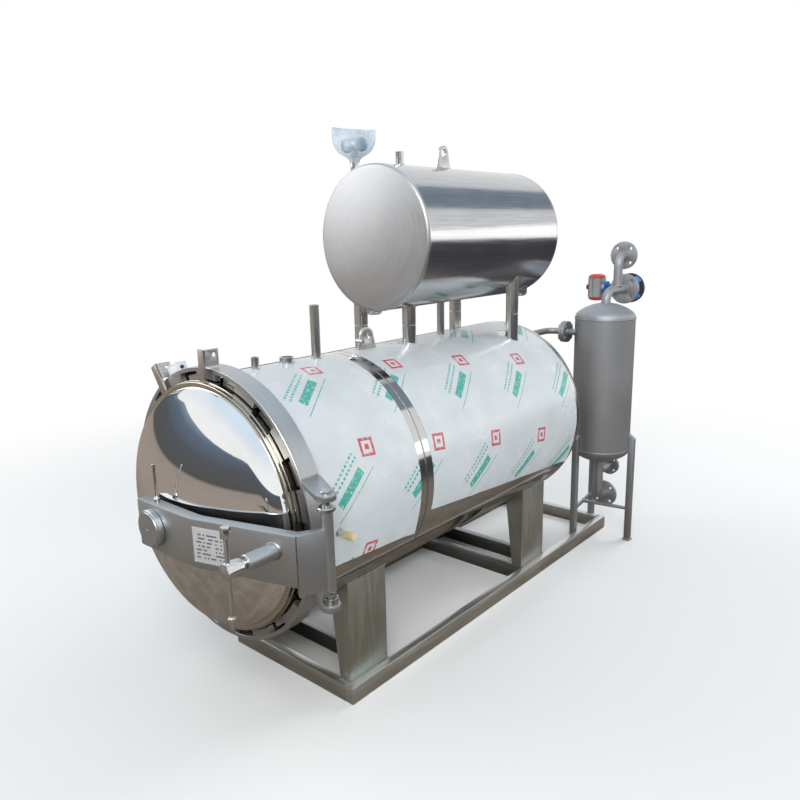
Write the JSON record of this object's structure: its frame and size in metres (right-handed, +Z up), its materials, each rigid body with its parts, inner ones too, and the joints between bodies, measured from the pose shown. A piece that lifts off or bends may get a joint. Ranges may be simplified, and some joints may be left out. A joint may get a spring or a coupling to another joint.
{
  "type": "retort sterilizer",
  "caption": "Horizontal stainless steel retort sterilizer with a toothed quick-opening door on a swing arm, an upper water tank on pipe legs and a separator tank at the rear",
  "frame": {"origin": "on the ground under the middle of the front rail, below the vessel's axis", "axes": "+Z up, the door faces -Y, the vessel's axis runs along Y, the hinge is on the +X side"},
  "size_m": [1.1235, 2.962, 2.155],
  "materials": {
    "frame_steel": "satin",
    "film_steel": "gloss film on mirror steel",
    "mirror_steel": "mirror",
    "weld_steel": "pickled",
    "seal_rubber": "matte",
    "satin_steel": "satin",
    "white_plastic": "matte",
    "cap_plastic": "satin",
    "valve_aluminium": "anodised",
    "blue_plastic": "gloss",
    "clear_bag": "clear film",
    "blasted_steel": "bead blasted",
    "valve_blue": "gloss",
    "bolt_steel": "plated",
    "cap_red": "gloss",
    "knob_black": "matte"
  },
  "bodies": {
    "vessel": {"base_side_rails": "frame_steel", "base_cross_rails": "frame_steel", "front_legs": "frame_steel", "rear_legs": "frame_steel", "shell_front_course": "film_steel", "shell_rear_course": "film_steel", "rear_head": "mirror_steel", "ring_back_plate": "weld_steel", "ring_wall": "weld_steel", "ring_teeth": "weld_steel", "door_seal": "seal_rubber", "hinge_lugs": "satin_steel", "hinge_pin": "satin_steel", "hinge_collars": "satin_steel", "interlock_box": "white_plastic", "vessel_nozzles": "satin_steel", "vessel_lifting_lug": "satin_steel", "side_nozzle_cap": "cap_plastic", "tank_shell": "satin_steel", "tank_front_head": "satin_steel", "tank_rear_head": "satin_steel", "tank_legs": "satin_steel", "tank_drain_pipe": "satin_steel", "tank_lifting_lug": "satin_steel", "tank_vent_stub": "satin_steel", "tank_valve_riser": "satin_steel", "tank_valve_actuator": "valve_aluminium", "tank_actuator_caps": "blue_plastic", "valve_bag": "clear_bag", "separator_shell": "blasted_steel", "separator_top_head": "blasted_steel", "separator_bottom_head": "blasted_steel", "separator_stand": "blasted_steel", "separator_outlet": "weld_steel", "valve_end_flange": "weld_steel", "butterfly_valve": "valve_blue", "valve_bolts": "bolt_steel", "valve_actuator": "valve_aluminium", "valve_actuator_caps": "cap_red", "actuator_knob": "knob_black", "link_pipe": "weld_steel", "link_bolts": "bolt_steel", "separator_drain": "weld_steel"},
    "arm": {"door_arm": "satin_steel", "hinge_sleeve": "satin_steel", "arm_boss": "satin_steel", "name_plate": "satin_steel", "screw_tube": "satin_steel", "lubricator": "satin_steel"},
    "door": {"door_dome": "mirror_steel", "door_rim": "weld_steel", "door_teeth": "weld_steel", "door_lugs": "satin_steel"},
    "handle": {"handle_hub": "satin_steel", "tommy_bar": "satin_steel"}
  },
  "joints": [
    {"name": "door_swing", "type": "hinge", "parent": "vessel", "child": "arm", "pos_m": [0.597, -0.333, 0.806], "axis": [0, 0, 1], "range_deg": [0, 110]},
    {"name": "door_turn", "type": "hinge", "parent": "arm", "child": "door", "pos_m": [0, -0.5, 0.806], "axis": [0, -1, 0], "range_deg": [0, 12.86]},
    {"name": "handle_spin", "type": "hinge", "parent": "arm", "child": "handle", "pos_m": [0.5, -0.6, 0.832], "axis": [0, -1, 0], "continuous": true}
  ]
}
